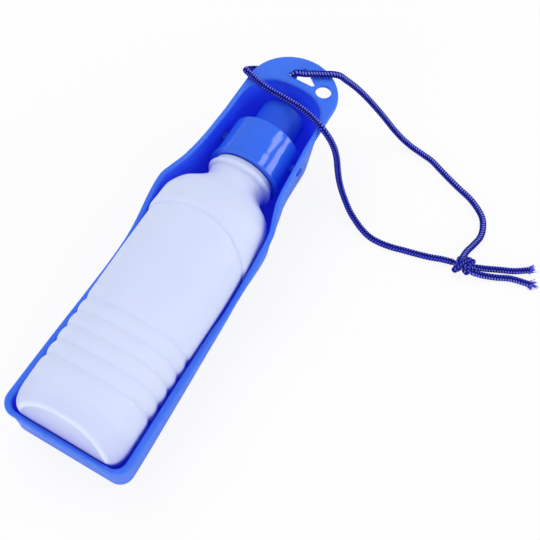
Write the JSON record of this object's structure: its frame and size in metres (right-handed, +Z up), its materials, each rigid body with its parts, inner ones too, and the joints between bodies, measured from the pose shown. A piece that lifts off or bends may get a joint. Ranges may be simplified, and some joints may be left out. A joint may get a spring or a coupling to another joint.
{
  "type": "dog travel water bottle",
  "caption": "Squeeze water bottle on a swivel cap, folded into a long drinking trough with a flanged head, a hang hole and a braided wrist cord, for giving a dog a drink on a walk.",
  "frame": {"origin": "middle of the trough's plan box, on the underside it lies on", "axes": "+Y from the trough's square end to its head flange, +Z up out of the trough, +X to the right seen from the square end"},
  "size_m": [0.225, 0.2959, 0.0655],
  "materials": {
    "trough": "moulded polypropylene, satin",
    "bottle": "blow-moulded soft polyethylene, frosted",
    "cap": "polished moulded plastic",
    "spout": "moulded, lightly textured",
    "seal": "moulded silicone",
    "cord": "braided polyester"
  },
  "bodies": {
    "trough": {"trough": "trough", "cord_strand_a": "cord", "cord_strand_b": "cord", "cord_tail_upper": "cord", "cord_tail_lower": "cord", "cord_knot": "cord"},
    "bottle": {"bottle": "bottle", "swivel_cap": "cap", "spout": "spout", "sealing_washer": "seal"}
  },
  "joints": [
    {"name": "bottle_swing", "type": "hinge", "parent": "trough", "child": "bottle", "pos_m": [0, 0.072, 0.0395], "axis": [-1, 0, 0], "range_deg": [0, 105]}
  ]
}
